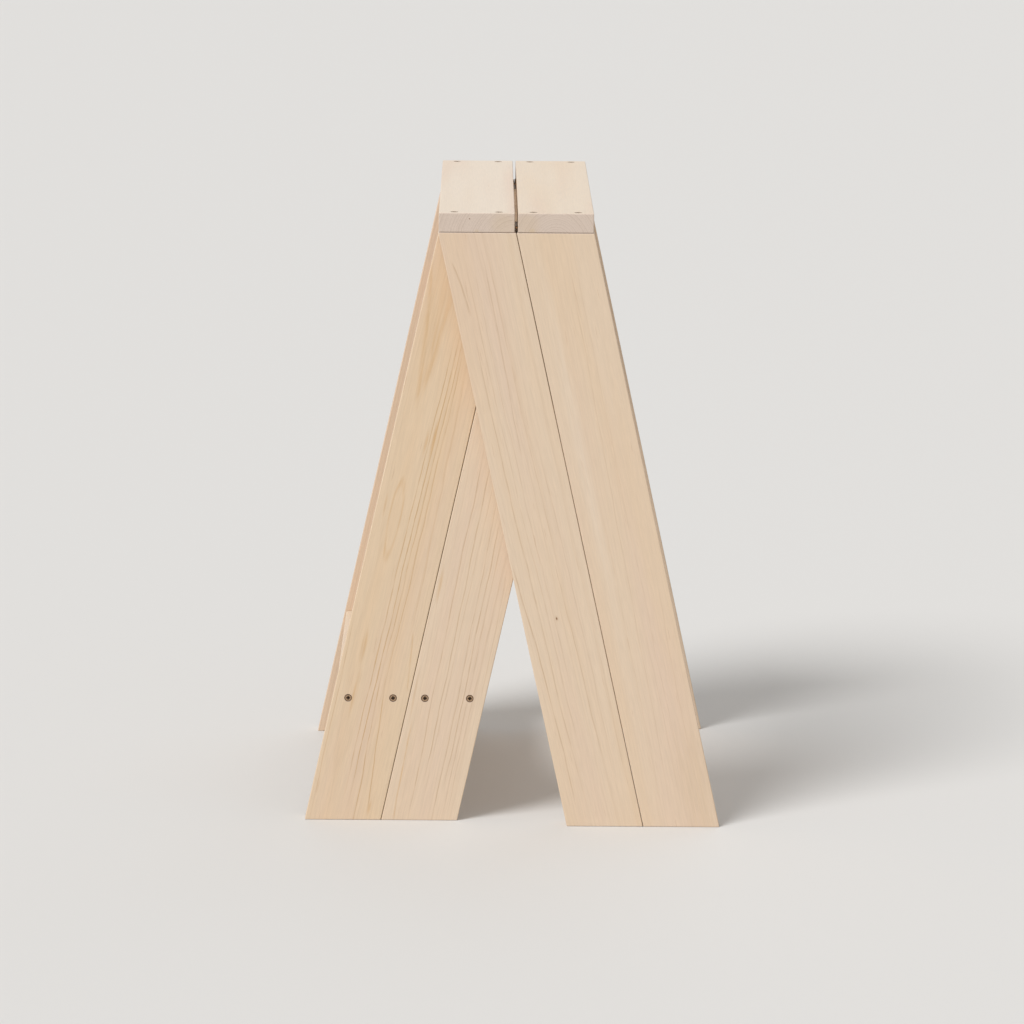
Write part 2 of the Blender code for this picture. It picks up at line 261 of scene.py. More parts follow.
def screw_mesh(length, head_radius):
    """Return a countersunk wood screw, its head's top at height 0 and its tip at -length."""
    thread_top = -length * SCREW_PLAIN_SHARE
    thread_end = SCREW_TIP_LENGTH - length
    rings = turned([(0, head_radius - SCREW_HEAD_EASE),
                    (-SCREW_HEAD_EASE, head_radius),
                    (-SCREW_HEAD_RIM, head_radius),
                    (-SCREW_HEAD_DEPTH, SCREW_SHANK_RADIUS + SCREW_HEAD_EASE),
                    (-SCREW_HEAD_DEPTH - SCREW_NECK, SCREW_SHANK_RADIUS),
                    (thread_top + SCREW_THREAD_LEAD, SCREW_SHANK_RADIUS)], SCREW_SIDES)
    rings += thread_rings(thread_top, thread_end, SCREW_PITCH, SCREW_ROOT_RADIUS,
                          SCREW_CREST_RADIUS, SCREW_SIDES)
    rings += turned([(thread_end - SCREW_TIP_STEP, SCREW_ROOT_RADIUS * SCREW_TIP_TAPER),
                     (-length, SCREW_POINT_RADIUS)], SCREW_SIDES)

    recess = skin([cross_outline(RECESS_REACH, RECESS_HALF_WIDTH, CUTTER_OVERRUN),
                   cross_outline(RECESS_REACH, RECESS_HALF_WIDTH, -RECESS_LIP),
                   cross_outline(RECESS_BOTTOM_REACH, RECESS_BOTTOM_HALF_WIDTH, -RECESS_DEPTH)])
    mesh = subtract(to_mesh(skin(rings), "wood_screw"), to_mesh(recess, "recess"))
    soften(mesh)
    return mesh


def fastener_axis(node):
    """Return a screw's or bolt's head point, its direction to the tip, its length and radius."""
    low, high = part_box(node)
    size = high - low
    axis = max(range(3), key=lambda k: size[k])
    direction = Vector((0, 0, 0))
    direction[axis] = 1
    middle = (low + high) / 2

    def spread(limit):
        reach = [(vertex.co - middle - direction * (vertex.co - middle).dot(direction)).length
                 for vertex in NODES[node].data.vertices
                 if abs(vertex.co[axis] - limit) < END_REACH]
        return max(reach)

    if spread(low[axis]) < spread(high[axis]):
        head, direction = high[axis], -direction
    else:
        head = low[axis]
    point = middle.copy()
    point[axis] = head
    others = [size[k] for k in range(3) if k != axis]
    return point, direction, size[axis], max(others) / 2


def fastener_matrix(point, direction, roll):
    """Return the matrix that puts a fastener's head at a point and turns -Z to a direction."""
    turned = direction.to_track_quat("-Z", "Y").to_matrix().to_4x4()
    return Matrix.Translation(point) @ turned @ Matrix.Rotation(roll, 4, "Z")


def add_screws(material):
    """Replace every CAD screw by a threaded one. Screws of one length share their mesh."""
    meshes = {}
    for node in sorted(name for name in NODES if "screw" in name):
        point, direction, length, radius = fastener_axis(node)
        key = round(length / MM, 1)
        if key not in meshes:
            meshes[key] = screw_mesh(length, radius)
        roll = LOOSE.uniform(-SCREW_ROLL, SCREW_ROLL)
        add_piece(node, meshes[key], fastener_matrix(point, direction, roll), material)


def bolt_mesh(length, head_radius):
    """Return a pivot bolt with a low round head, a hexagon socket and a threaded end."""
    thread_end = BOLT_CHAMFER - length
    thread_top = thread_end + BOLT_THREAD_LENGTH
    turns = [math.pi / 2 * step / ROUND_STEPS for step in range(ROUND_STEPS + 1)]
    rings = turned([(BOLT_HEAD_ROUND * (math.cos(turn) - 1),
                     head_radius - BOLT_HEAD_ROUND * (1 - math.sin(turn))) for turn in turns],
                   BOLT_SIDES)
    rings += turned([(-BOLT_HEAD_HEIGHT + BOLT_HEAD_EASE, head_radius),
                     (-BOLT_HEAD_HEIGHT, head_radius - BOLT_HEAD_EASE),
                     (-BOLT_HEAD_HEIGHT, BOLT_SHANK_RADIUS),
                     (thread_top + BOLT_THREAD_LEAD, BOLT_SHANK_RADIUS)], BOLT_SIDES)
    rings += thread_rings(thread_top, thread_end, BOLT_PITCH, BOLT_ROOT_RADIUS,
                          BOLT_SHANK_RADIUS, BOLT_SIDES)
    rings += turned([(-length, BOLT_ROOT_RADIUS - BOLT_END_STEP)], BOLT_SIDES)
    socket = skin(turned([(CUTTER_OVERRUN, BOLT_SOCKET_RADIUS),
                          (-BOLT_SOCKET_DEPTH, BOLT_SOCKET_RADIUS),
                          (-BOLT_SOCKET_DEPTH - BOLT_SOCKET_CONE, BOLT_SOCKET_TIP)],
                         BOLT_SOCKET_SIDES))
    mesh = subtract(to_mesh(skin(rings), "pivot_bolt"), to_mesh(socket, "socket"))
    soften(mesh)
    return mesh


def washer_mesh(node):
    """Return a flat washer with rounded rims, its middle at the origin and its axis along Z."""
    low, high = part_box(node)
    size = high - low
    outside, half = size.x / 2, size.y / 2
    bore = BOLT_SHANK_RADIUS + HOLE_CLEARANCE
    corners = ((outside, half, 0), (outside, -half, -1), (bore, -half, -2), (bore, half, -3))
    rings = []
    for radius, height, quarter in corners:
        centre_r = radius + (WASHER_ROUND if radius == bore else -WASHER_ROUND)
        centre_z = height - math.copysign(WASHER_ROUND, height)
        for step in range(ROUND_STEPS + 1):
            turn = math.pi / 2 * (quarter + 1 - step / ROUND_STEPS)
            rings.append(circle(centre_z + WASHER_ROUND * math.sin(turn),
                                centre_r + WASHER_ROUND * math.cos(turn), BOLT_SIDES))
    mesh = to_mesh(skin(rings, closed=True), "washer")
    soften(mesh)
    return mesh


def add_pivots(material):
    """Replace the pivot bolts and their washers."""
    for end in ENDS:
        node = f"pivot_bolt_{end}"
        point, direction, length, radius = fastener_axis(node)
        matrix = fastener_matrix(point, direction, LOOSE.uniform(0, BOLT_ROLL))
        add_piece(node, bolt_mesh(length, radius), matrix, material)
        for kind in ("head", "spacer"):
            node = f"{kind}_washer_{end}"
            low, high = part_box(node)
            matrix = fastener_matrix((low + high) / 2, direction, 0)
            add_piece(node, washer_mesh(node), matrix, material)


# ------------------------------------------------------------------ boards

class Board:
    """A CAD board measured in its own directions: across it, through it and along it.

    Its origin is on its middle line, at its lower or front end, and its shown face is at -Y.
    """

    def __init__(self, node, along, across):
        self.node, self.along, self.across = node, along, across
        self.through = along.cross(across)
        points = [vertex.co for vertex in NODES[node].data.vertices]
        side, depth, length = ([point.dot(axis) for point in points]
                               for axis in (across, self.through, along))
        self.width = max(side) - min(side)
        self.thickness = max(depth) - min(depth)
        self.length = max(length) - min(length)
        self.low, self.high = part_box(node)
        middle = (across * (max(side) + min(side)) + self.through * (max(depth) + min(depth))) / 2
        start = min(length)
        if self.leans:
            start = (self.low.z - middle.z) / along.z
        self.origin = middle + along * start
        rotation = Matrix((across, self.through, along)).transposed().to_4x4()
        self.matrix = Matrix.Translation(self.origin) @ rotation

    @property
    def leans(self):
        """Say whether this is a leg board, whose ends are cut level."""
        return "_leg_" in self.node

    def level_cut(self, x, height):
        """Return how far along the board a level cut at a height is, at a place across it."""
        return (height - self.origin.z - x * self.across.z) / self.along.z

    def outline(self):
        """Return the outline of the board's face, with a corner rounded about the pivot."""
        half = self.width / 2
        if not self.leans:
            return [(-half, 0), (half, 0), (half, self.length), (-half, self.length)]
        points = [(x, self.level_cut(x, height)) for x, height in
                  ((-half, self.low.z), (half, self.low.z),
                   (half, self.high.z), (-half, self.high.z))]
        if self.node.startswith("inner_leg") and self.node.endswith("right"):
            centre = self.matrix.inverted() @ PIVOT
            radius = self.high.z - PIVOT.z
            sweep = math.pi / 2 + LEG_LEAN
            arc = []
            for step in range(CORNER_STEPS + 1):
                turn = sweep * step / CORNER_STEPS
                arc.append((centre.x + radius * math.cos(turn), centre.z + radius * math.sin(turn)))
            points = points[:2] + arc + points[3:]
        return points

    def blank(self):
        """Return the board with rounded arrises and no holes."""
        shape = bmesh.new()
        corners = [shape.verts.new((x, -self.thickness / 2, z)) for x, z in self.outline()]
        face = shape.faces.new(corners)
        grown = bmesh.ops.extrude_face_region(shape, geom=[face])["geom"]
        moved = [part for part in grown if isinstance(part, bmesh.types.BMVert)]
        bmesh.ops.translate(shape, verts=moved, vec=(0, self.thickness, 0))
        bmesh.ops.recalc_face_normals(shape, faces=shape.faces)
        edges = [edge for edge in shape.edges if edge.calc_face_angle() > ARRIS_ANGLE]
        bmesh.ops.bevel(shape, geom=edges, offset=ARRIS, offset_type="OFFSET", profile=0.5,
                        segments=ARRIS_SEGMENTS, affect="EDGES", clamp_overlap=True)
        return to_mesh(shape, self.node)

    def touches(self, node):
        """Say whether a fastener's box overlaps the board's box."""
        low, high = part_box(node)
        return all(low[k] < self.high[k] and high[k] > self.low[k] for k in range(3))


def hole_shape(node):
    """Return the hole that a screw or bolt needs, in the row frame."""
    point, direction, length, radius = fastener_axis(node)
    if node.startswith("pivot_bolt"):
        wall = BOLT_SHANK_RADIUS + HOLE_CLEARANCE
        rings = turned([(0, wall), (-length - HOLE_CLEARANCE, wall)], BOLT_SIDES)
    else:
        head, wall = radius + HOLE_CLEARANCE, SCREW_CREST_RADIUS + HOLE_CLEARANCE
        rings = turned([(CUTTER_OVERRUN, head), (0, head), (-SCREW_HEAD_DEPTH, wall),
                        (SCREW_TIP_LENGTH - length, wall),
                        (-length - HOLE_CLEARANCE, HOLE_POINT_RADIUS)], SCREW_SIDES)
    shape = skin(rings)
    bmesh.ops.transform(shape, matrix=fastener_matrix(point, direction, 0), verts=shape.verts)
    return shape


def drilled(board, mesh):
    """Return a board's mesh with a hole for each screw and bolt that passes through it."""
    holes = bmesh.new()
    for node in sorted(NODES):
        if ("screw" in node or "pivot_bolt" in node) and board.touches(node):
            part = to_mesh(hole_shape(node), "hole")
            holes.from_mesh(part)
            bpy.data.meshes.remove(part)
    bmesh.ops.transform(holes, matrix=board.matrix.inverted(), verts=holes.verts)
    return subtract(mesh, to_mesh(holes, "holes"))


def add_board(board, material):
    """Replace a CAD board by one with round arrises, drilled holes and solid grain."""
    mesh = drilled(board, board.blank())
    mesh.transform(board.matrix)
    soften(mesh)
    piece = add_piece(board.node, mesh, Matrix.Identity(4), material)
    weighted = piece.modifiers.new("flat_faces", "WEIGHTED_NORMAL")
    weighted.keep_sharp = True


# ------------------------------------------------------------------ node trees

class Graph:
    """Adds nodes to a node tree, so that a formula reads as one."""

    def __init__(self, tree):
        self.tree = tree

    def add(self, kind, inputs=None, **settings):
        """Add a node, with its settings and its inputs by name or number."""
        node = self.tree.nodes.new(kind)
        for name, value in settings.items():
            setattr(node, name, value)
        for key, value in (inputs or {}).items():
            self.feed(node.inputs[key], value)
        return node

    def feed(self, socket, value):
        """Link a socket to another one, or set it."""
        if isinstance(value, bpy.types.NodeSocket):
            self.tree.links.new(value, socket)
        else:
            socket.default_value = value

    def math(self, operation, *values, clamp=False):
        """Add one step of arithmetic."""
        node = self.add("ShaderNodeMath", dict(enumerate(values)), operation=operation,
                        use_clamp=clamp)
        return node.outputs[0]

    def total(self, *values):
        """Add values up."""
        result = values[0]
        for value in values[1:]:
            result = self.math("ADD", result, value)
        return result

    def product(self, *values):
        """Multiply values."""
        result = values[0]
        for value in values[1:]:
            result = self.math("MULTIPLY", result, value)
        return result

    def length(self, x, y):
        """Return the length of a flat vector."""
        return self.math("SQRT", self.total(self.product(x, x), self.product(y, y)))

    def smooth(self, value, start, end, low=0.0, high=1.0):
        """Go smoothly from low to high as a value goes from start to end."""
        node = self.add("ShaderNodeMapRange", {0: value, 1: start, 2: end, 3: low, 4: high},
                        interpolation_type="SMOOTHSTEP")
        return node.outputs[0]

    def scaled(self, vector, scale, shift=(0, 0, 0)):
        """Scale a vector by axis, then shift it."""
        node = self.add("ShaderNodeVectorMath", {0: vector, 1: scale, 2: shift},
                        operation="MULTIPLY_ADD")
        return node.outputs[0]

    def noise(self, vector, detail=2.0, output=0):
        """Return noise between 0 and 1 whose cells are one unit of the vector in size."""
        inputs = {"Vector": vector, "Scale": 1.0, "Detail": detail}
        return self.add("ShaderNodeTexNoise", inputs).outputs[output]

    def noise_along(self, value, detail):
        """Return noise between 0 and 1 that changes along a single value."""
        inputs = {"W": value, "Scale": 1.0, "Detail": detail}
        return self.add("ShaderNodeTexNoise", inputs, noise_dimensions="1D").outputs[0]

    def centred(self, value):
        """Move a value between 0 and 1 so that it is about 0."""
        return self.math("SUBTRACT", value, 0.5)

    def mix(self, factor, first, second, blend="MIX"):
        """Mix two colours."""
        node = self.add("ShaderNodeMix", {0: factor, 6: first, 7: second}, data_type="RGBA",
                        blend_type=blend)
        return node.outputs[2]

    def split(self, vector):
        """Return a vector's three parts."""
        return self.add("ShaderNodeSeparateXYZ", {0: vector}).outputs


def new_material(name):
    """Return a new material with its graph and its Principled shader."""
    material = bpy.data.materials.new(name)
    material.use_nodes = True
    return material, Graph(material.node_tree), material.node_tree.nodes["Principled BSDF"]


def coat(graph, shader, colour, roughness, relief, strength, depth):
    """Give a shader its colour, its roughness and a relief of a strength and depth."""
    bump = graph.add("ShaderNodeBump", {"Strength": strength, "Distance": depth,
                                        "Height": relief})
    graph.feed(shader.inputs["Base Color"], colour)
    graph.feed(shader.inputs["Roughness"], roughness)
    graph.feed(shader.inputs["Normal"], bump.outputs[0])


# ------------------------------------------------------------------ softwood

AMBER = (0.63, 0.405, 0.205, 1)
WARM = (0.735, 0.535, 0.345, 1)
ROSY = (0.715, 0.535, 0.415, 1)
PALE = (0.760, 0.625, 0.490, 1)
OCHRE = (0.60, 0.45, 0.27, 1)
RESIN_BROWN = (0.53, 0.325, 0.150, 1)
END_GRAIN = (0.665, 0.548, 0.462, 1)
END_LATE = (0.475, 0.365, 0.285, 1)
END_PORES = (0.43, 0.33, 0.25, 1)
KNOT_HEART = (0.22, 0.11, 0.05, 1)
DASH_BROWN = (0.50, 0.33, 0.20, 1)
LINE_BROWN = (0.500, 0.325, 0.175, 1)
LATEWOOD_BROWN = (0.545, 0.375, 0.225, 1)

# How far the rings sway and ripple, and how far the marks on a face wander from their course
SWAY = 5 * MM
RIPPLE = 1.1 * MM
WANDER = 5.5 * MM

# Rings are counted from here. A noise moves them by up to RING_SPREAD rings, and changes by
# RING_CHANGE of a cell from one ring to the next.
RINGS_START = 6.0
RING_SPREAD = 1.6
RING_CHANGE = 0.37

# Where in a ring the latewood begins, is darkest and has ended, and how dark the rings are
LATE_BEGINS = (0.30, 0.80)
LATE_DARKEST = 0.95
LATE_ENDS = 0.955
LATE_WEIGHT = (0.30, 1.0)

# Rings rise around a knot and bend over a place around it, all in the knot's own radii
BEND_ACROSS, BEND_ALONG, BEND_RISE = 3, 9, 1.6
KNOT_SQUASH = 0.55

# The share of a line's width that its crisp side takes, and of its run that each end fades over
LINE_CRISP = 0.4
LINE_FADE = 0.15

# Where a hollow mark's outline is, as a share of its reach, and how narrow the outline is
OUTLINE_AT, OUTLINE_CRISP = 0.85, 5.0

# How square to the grain a face is where end grain begins to show and where it is all end grain
END_FACING = (0.25, 0.65)

# Wood's surface: its roughness along the fibres, what latewood and end grain add, and its relief
WOOD_ROUGHNESS = (0.40, 0.52)
LATE_ROUGHNESS = -0.06
END_ROUGHNESS = 0.22
WOOD_IOR = 1.5
WOOD_SPECULAR = 0.5
GRAIN_RELIEF = 0.55
GRAIN_DEPTH = 0.08 * MM

# Noises in the wood: cells for each metre across, through and along a board, and detail
NOISES = {
    "sway": ((14, 14, 3.2), 2.0),
    "ripple": ((110, 110, 9), 2.0),
    "ragged": ((400, 400, 14), 3.0),
    "fibre": ((1900, 1900, 55), 3.0),
    "cloud": ((34, 34, 2.2), 1.0),
    "blush": ((22, 22, 1.6), 1.0),
    "ducts": ((620, 620, 26), 1.0),
    "speck": ((1500, 1500, 300), 2.0),
    "saw": ((60, 2600, 200), 2.0),
    "wander": ((30, 30, 13), 3.0),
    "wear_and_highlight": ((260, 260, 40), 3.0),
}

# How far apart in a noise two boards are that differ by one in their seeds
NOISE_STEPS = (7.31, 3.17, 5.83)


@dataclass
class Streak:
    """A soft mark on a board's face, by its place across and along it and its size.

    A hollow one is only an outline, as where a growth ring just reaches the face.
    """
    across: float
    along: float
    width: float
    length: float
    strength: float = 0.5
    tone: tuple = AMBER
    hollow: bool = False


@dataclass
class Line:
    """A latewood line down a board, by where it starts and ends along the board.

    Its course is its place across the board at its foot, its middle and its top.
    """
    foot: float
    top: float
    course: tuple
    strength: float = 0.4
    width: float = 1.5 * MM
    tone: tuple = LINE_BROWN


@dataclass
class Spot:
    """A round patch in the wood, by its place across, through and along the board."""
    place: tuple
    radius: float
    strength: float
    tone: tuple


@dataclass
class Knot:
    """A pin knot through a board, by its place across and along it and its radius."""
    across: float
    along: float
    radius: float


@dataclass
class Grain:
    """How a board was sawn from its log, and how it is coloured.

    The pith is where the log's middle is, across and behind the shown face, and its drift is
    how far that moves for each metre along the board. A ring is as wide as ring says.
    """
    pith: tuple
    drift: tuple
    ring: float
    seed: float
    contrast: float = 0.5
    early: tuple = (0.735, 0.580, 0.430)
    warm: float = 0.35
    lines: list = field(default_factory=list)
    streaks: list = field(default_factory=list)
    knots: list = field(default_factory=list)
    spots: list = field(default_factory=list)


def wood_noise(graph, place, grain, kind, output=0):
    """Return one of the noises in the wood, at a part of it that is this board's own."""
    cells, detail = NOISES[kind]
    salt = list(NOISES).index(kind) + 1
    across, through, along = (grain.seed * step for step in NOISE_STEPS)
    shift = (across + salt, through - salt, along + 2 * salt)
    return graph.noise(graph.scaled(place, cells, shift), detail, output)


def nearness(graph, x, z, mark, across, along):
    """Return how far each point is from a mark's middle, as a share of its reach each way."""
    return graph.length(graph.product(graph.total(x, -mark.across), 1 / across),
                        graph.product(graph.total(z, -mark.along), 1 / along))


def ring_radius(graph, place, grain):
    """Return how far each point is from the log's pith, bent as rings grow around knots."""
    x, y, z = graph.split(place)
    bend = graph.split(wood_noise(graph, place, grain, "sway", "Color"))
    offset = []
    for part, swing, start, drift in ((x, bend[0], grain.pith[0], grain.drift[0]),
                                      (y, bend[1], grain.pith[1], grain.drift[1])):
        leaned = graph.total(part, -start, graph.product(z, -drift))
        offset.append(graph.total(leaned, graph.product(graph.centred(swing), 2 * SWAY)))
    ripple = graph.centred(wood_noise(graph, place, grain, "ripple"))
    radius = graph.total(graph.length(*offset), graph.product(ripple, RIPPLE))
    for knot in grain.knots:
        near = nearness(graph, x, z, knot, BEND_ACROSS * knot.radius, BEND_ALONG * knot.radius)
        rise = graph.smooth(near, 0.0, 1.0, BEND_RISE * knot.radius, 0.0)
        radius = graph.total(radius, rise)
    return radius


def latewood(graph, radius, grain):
    """Return how dark each point of a growth ring is, from 0 for earlywood to 1."""
    rings = graph.total(graph.product(radius, 1 / grain.ring), RINGS_START)
    uneven = graph.noise_along(graph.product(rings, RING_CHANGE), 1.0)
    rings = graph.total(rings, graph.product(uneven, RING_SPREAD))
    number = graph.math("FLOOR", rings)
    phase = graph.math("FRACT", rings)
    chance = graph.add("ShaderNodeTexWhiteNoise", {"W": graph.total(number, grain.seed)},
                       noise_dimensions="1D")
    start = graph.smooth(chance.outputs["Value"], 0.0, 1.0, *LATE_BEGINS)
    rise = graph.smooth(phase, start, LATE_DARKEST)
    fall = graph.smooth(phase, LATE_ENDS, 1.0, 1.0, 0.0)
    weight = graph.split(chance.outputs["Color"])[1]
    return graph.product(rise, fall, graph.smooth(weight, 0.0, 1.0, *LATE_WEIGHT))


def line_mask(graph, x, z, line):
    """Return how much of a latewood line there is: soft on its left, crisp on its right."""
    run = graph.product(graph.total(z, -line.foot), 1 / (line.top - line.foot))
    low, middle, high = line.course
    slope, bend = 4 * middle - 3 * low - high, 2 * low - 4 * middle + 2 * high
    course = graph.total(graph.product(run, graph.total(graph.product(run, bend), slope)), low)
    away = graph.math("SUBTRACT", x, course)
    return graph.product(graph.smooth(away, -line.width, 0.0),
                         graph.smooth(away, 0.0, LINE_CRISP * line.width, 1.0, 0.0),
                         graph.smooth(run, 0.0, LINE_FADE),
                         graph.smooth(run, 1 - LINE_FADE, 1.0, 1.0, 0.0))


def face_marks(graph, place, colour, grain):
    """Lay a board's lines, streaks, knots and spots over its colour."""
    x, _, z = graph.split(place)
    ragged = wood_noise(graph, place, grain, "ragged")
    if grain.lines or grain.streaks:
        wander = graph.centred(wood_noise(graph, place, grain, "wander"))
        bent = graph.total(x, graph.product(wander, WANDER))
        wear_and_highlight = graph.smooth(wood_noise(graph, place, grain, "wear_and_highlight"), 0.32, 0.58, 0.42, 1.0)
    for line in grain.lines:
        mask = graph.product(line_mask(graph, bent, z, line), wear_and_highlight, line.strength)
        colour = graph.mix(mask, colour, line.tone)
    for streak in grain.streaks:
        near = nearness(graph, bent, z, streak, streak.width / 2, streak.length / 2)
        if streak.hollow:
            from_outline = graph.math("ABSOLUTE", graph.total(near, -OUTLINE_AT))
            near = graph.product(from_outline, OUTLINE_CRISP)
        mask = graph.smooth(near, 0.15, 1.0, streak.strength, 0.0)
        mask = graph.product(mask, graph.smooth(ragged, 0.30, 0.6, 0.30, 1.0))
        colour = graph.mix(mask, colour, streak.tone)
    for spot in grain.spots:
        away = graph.add("ShaderNodeVectorMath", {0: place, 1: spot.place}, operation="DISTANCE")
        mask = graph.smooth(graph.product(away.outputs["Value"], 1 / spot.radius), 0.3, 1.0,
                            spot.strength, 0.0)
        colour = graph.mix(mask, colour, spot.tone)
    for knot in grain.knots:
        near = nearness(graph, x, z, knot, knot.radius, knot.radius / KNOT_SQUASH)
        colour = graph.mix(graph.smooth(near, 0.4, 2.6, 0.5, 0.0), colour, DASH_BROWN)
        colour = graph.mix(graph.smooth(near, 0.65, 1.0, 0.95, 0.0), colour, KNOT_HEART)
    return colour


def softwood(board, grain):
    """Return solid softwood: its growth rings run through the board and show on every side."""
    material, graph, shader = new_material("softwood_" + board.node)
    source = graph.add("ShaderNodeTexCoord")
    place = graph.add("ShaderNodeMapping", {
        "Vector": source.outputs["Object"], "Location": board.origin,
        "Rotation": board.matrix.to_euler()}, vector_type="TEXTURE").outputs[0]

    late = latewood(graph, ring_radius(graph, place, grain), grain)
    fibre, cloud, blush, ducts, speck, saw = (
        wood_noise(graph, place, grain, kind)
        for kind in ("fibre", "cloud", "blush", "ducts", "speck", "saw"))

    colour = graph.mix(graph.smooth(cloud, 0.42, 0.72, 0.0, grain.warm), (*grain.early, 1), WARM)
    colour = graph.mix(graph.smooth(blush, 0.45, 0.75, 0.0, 0.5), colour, ROSY)
    colour = graph.mix(graph.product(late, grain.contrast), colour, LATEWOOD_BROWN)
    dash = graph.smooth(ducts, 0.70, 0.80, 0.0, 0.35)
    colour = graph.mix(dash, colour, DASH_BROWN)

    facing = graph.add("ShaderNodeVectorMath", {0: source.outputs["Normal"], 1: board.along},
                       operation="DOT_PRODUCT").outputs["Value"]
    end = graph.smooth(graph.math("ABSOLUTE", facing), *END_FACING)
    ring_shade = graph.mix(graph.product(late, 0.55), END_GRAIN, END_LATE)
    ring_shade = graph.mix(graph.smooth(speck, 0.35, 0.8, 0.0, 0.30), ring_shade, END_PORES)
    colour = graph.mix(end, colour, ring_shade)
    colour = face_marks(graph, place, colour, grain)

    grey = graph.product(graph.smooth(fibre, 0.2, 0.8, 0.955, 1.035),
                         graph.smooth(ducts, 0.3, 0.7, 0.980, 1.018))
    shade = graph.add("ShaderNodeCombineXYZ", {0: grey, 1: grey, 2: grey}).outputs[0]
    colour = graph.mix(1.0, colour, shade, blend="MULTIPLY")

    rough = graph.total(graph.smooth(fibre, 0.2, 0.8, *WOOD_ROUGHNESS),
                        graph.product(late, LATE_ROUGHNESS), graph.product(end, END_ROUGHNESS))
    relief = graph.total(graph.product(late, 0.30), graph.product(fibre, 0.55),
                         graph.product(end, saw, 0.9), graph.product(dash, -1.2))
    coat(graph, shader, colour, rough, relief, GRAIN_RELIEF, GRAIN_DEPTH)
    shader.inputs["IOR"].default_value = WOOD_IOR
    shader.inputs["Specular IOR Level"].default_value = WOOD_SPECULAR
    return material
